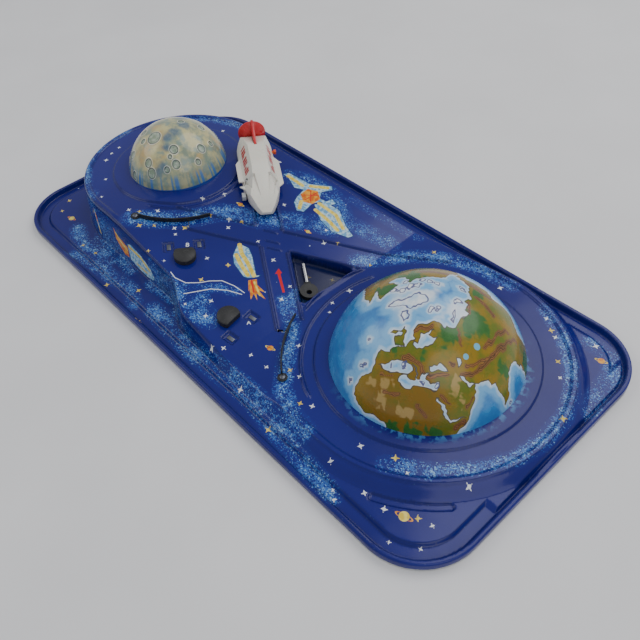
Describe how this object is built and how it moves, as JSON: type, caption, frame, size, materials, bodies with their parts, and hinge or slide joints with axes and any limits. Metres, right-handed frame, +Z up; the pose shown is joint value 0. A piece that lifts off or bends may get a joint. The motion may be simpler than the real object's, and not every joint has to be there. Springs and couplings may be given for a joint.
{
  "type": "tin space track with clockwork rocket",
  "caption": "Pressed-tin toy board with Earth and Moon domes, figure-eight lane, switch knobs with swing blades, winding key and a small clockwork rocket.",
  "frame": {"origin": "centre of the board's footprint, on the surface it rests on", "axes": "+X from the Moon towards the Earth along the board, +Y towards the far long edge, +Z up"},
  "size_m": [0.6, 0.29, 0.096],
  "materials": {
    "litho_tin": "glossy printed tin",
    "black_knob": "moulded",
    "blade_black": "black lacquer",
    "zinc_steel": "zinc plated",
    "bright_steel": "polished",
    "washer_brass": "plain",
    "key_plastic": "moulded",
    "shell_white": "moulded, slightly aged",
    "tail_red": "moulded",
    "chassis_tin": "bright tin",
    "motor_brass": "plain",
    "gear_brass": "plain",
    "spring_steel": "blued",
    "shoe_plastic": "moulded",
    "block_grey": "moulded",
    "wheel_plastic": "moulded",
    "tyre_rubber": "matt",
    "lever_red": "moulded"
  },
  "bodies": {
    "board": {"track_plate": "litho_tin", "bracket_a": "zinc_steel", "friction_washer_a": "washer_brass", "link_guide_a": "zinc_steel", "blade_rivet_a": "bright_steel", "bracket_b": "zinc_steel", "friction_washer_b": "washer_brass", "link_guide_b": "zinc_steel", "blade_rivet_b": "bright_steel"},
    "knob_a": {"knob_a": "black_knob", "spindle_a": "bright_steel", "crank_a": "zinc_steel"},
    "link_a": {"link_a": "zinc_steel"},
    "blade_a": {"blade_a": "blade_black"},
    "knob_b": {"knob_b": "black_knob", "spindle_b": "bright_steel", "crank_b": "zinc_steel"},
    "link_b": {"link_b": "zinc_steel"},
    "blade_b": {"blade_b": "blade_black"},
    "key": {"key_bow": "key_plastic", "key_shank": "bright_steel"},
    "rocket": {"rocket_shell": "shell_white", "tail_nozzle": "tail_red", "rocket_chassis": "chassis_tin", "body_screws": "zinc_steel", "guide_shoe": "shoe_plastic", "side_block": "block_grey", "motor_plate_left": "motor_brass", "motor_plate_right": "motor_brass", "motor_pillars": "zinc_steel", "mainspring": "spring_steel"},
    "winding_arbor": {"winding_arbor": "bright_steel", "ratchet_wheel": "zinc_steel"},
    "great_gear": {"great_gear": "gear_brass", "click": "zinc_steel"},
    "third_wheel": {"third_wheel": "gear_brass"},
    "second_wheel": {"second_wheel": "gear_brass"},
    "rear_axle": {"rear_axle": "zinc_steel", "rear_wheels": "wheel_plastic", "rear_tyres": "tyre_rubber"},
    "front_axle": {"front_axle": "zinc_steel", "front_wheels": "shoe_plastic"},
    "stop_lever": {"stop_lever": "lever_red"}
  },
  "joints": [
    {"name": "knob_a_turn", "type": "hinge", "parent": "board", "child": "knob_a", "pos_m": [0.0155, -0.086, 0.02065], "axis": [0.1793, 0, 0.9838], "range_deg": [-66, 0]},
    {"name": "link_a_draw", "type": "slide", "parent": "board", "child": "link_a", "axis": [-0.7525, -0.6586, 0], "range_m": [0, 0.0088]},
    {"name": "blade_a_swing", "type": "hinge", "parent": "board", "child": "blade_a", "pos_m": [0.097, -0.093, 0.014], "axis": [0, 0, 1], "range_deg": [0, 9.5]},
    {"name": "knob_b_turn", "type": "hinge", "parent": "board", "child": "knob_b", "pos_m": [-0.066, -0.073, 0.03551], "axis": [0.1793, 0, 0.9838], "range_deg": [0, 66]},
    {"name": "link_b_draw", "type": "slide", "parent": "board", "child": "link_b", "axis": [0.6323, -0.7661, -0.1153], "range_m": [0, 0.0088]},
    {"name": "blade_b_swing", "type": "hinge", "parent": "board", "child": "blade_b", "pos_m": [-0.1383, -0.0791, 0.04869], "axis": [0.1793, 0, 0.9838], "range_deg": [-9.5, 0]},
    {"name": "key_lift", "type": "slide", "parent": "board", "child": "key", "axis": [0.1793, 0, 0.9838], "range_m": [0, 0.03]},
    {"name": "rocket_travel", "type": "slide", "parent": "board", "child": "rocket", "axis": [0.8399, -0.5207, -0.1531], "range_m": [0, 0.11]},
    {"name": "rear_axle_spin", "type": "hinge", "parent": "rocket", "child": "rear_axle", "pos_m": [-0.11442, 0.05703, 0.05166], "axis": [0.5123, 0.8537, -0.0934], "range_deg": [0, 900.86]},
    {"name": "second_wheel_spin", "type": "hinge", "parent": "rocket", "child": "second_wheel", "pos_m": [-0.10472, 0.05172, 0.05631], "axis": [0.5123, 0.8537, -0.0934], "range_deg": [-300.62, 0]},
    {"name": "third_wheel_spin", "type": "hinge", "parent": "rocket", "child": "third_wheel", "pos_m": [-0.09581, 0.04661, 0.05852], "axis": [0.5123, 0.8537, -0.0934], "range_deg": [0, 120.55]},
    {"name": "great_gear_spin", "type": "hinge", "parent": "rocket", "child": "great_gear", "pos_m": [-0.08677, 0.04063, 0.05339], "axis": [0.5123, 0.8537, -0.0934], "range_deg": [-40.52, 0]},
    {"name": "front_axle_spin", "type": "hinge", "parent": "rocket", "child": "front_axle", "pos_m": [-0.07371, 0.03151, 0.04169], "axis": [0.5123, 0.8537, -0.0934], "range_deg": [0, 1401.06]},
    {"name": "winding_turn", "type": "hinge", "parent": "rocket", "child": "winding_arbor", "pos_m": [-0.08677, 0.04063, 0.05339], "axis": [0.5123, 0.8537, -0.0934], "range_deg": [0, 1080]},
    {"name": "stop_lever_swing", "type": "hinge", "parent": "rocket", "child": "stop_lever", "pos_m": [-0.12137, 0.072, 0.05404], "axis": [0.1793, 0, 0.9838], "range_deg": [0, 18]}
  ],
  "couplings": [
    {"joint": "link_a_draw", "follows": "knob_a_turn", "m_per_rad": -0.007553},
    {"joint": "blade_a_swing", "follows": "knob_a_turn", "ratio": -0.14242},
    {"joint": "link_b_draw", "follows": "knob_b_turn", "m_per_rad": 0.007553},
    {"joint": "blade_b_swing", "follows": "knob_b_turn", "ratio": -0.14242},
    {"joint": "rear_axle_spin", "follows": "rocket_travel", "rad_per_m": 142.86},
    {"joint": "second_wheel_spin", "follows": "rocket_travel", "rad_per_m": -47.619},
    {"joint": "third_wheel_spin", "follows": "rocket_travel", "rad_per_m": 19.048},
    {"joint": "great_gear_spin", "follows": "rocket_travel", "rad_per_m": -6.3492},
    {"joint": "front_axle_spin", "follows": "rocket_travel", "rad_per_m": 222.22}
  ]
}
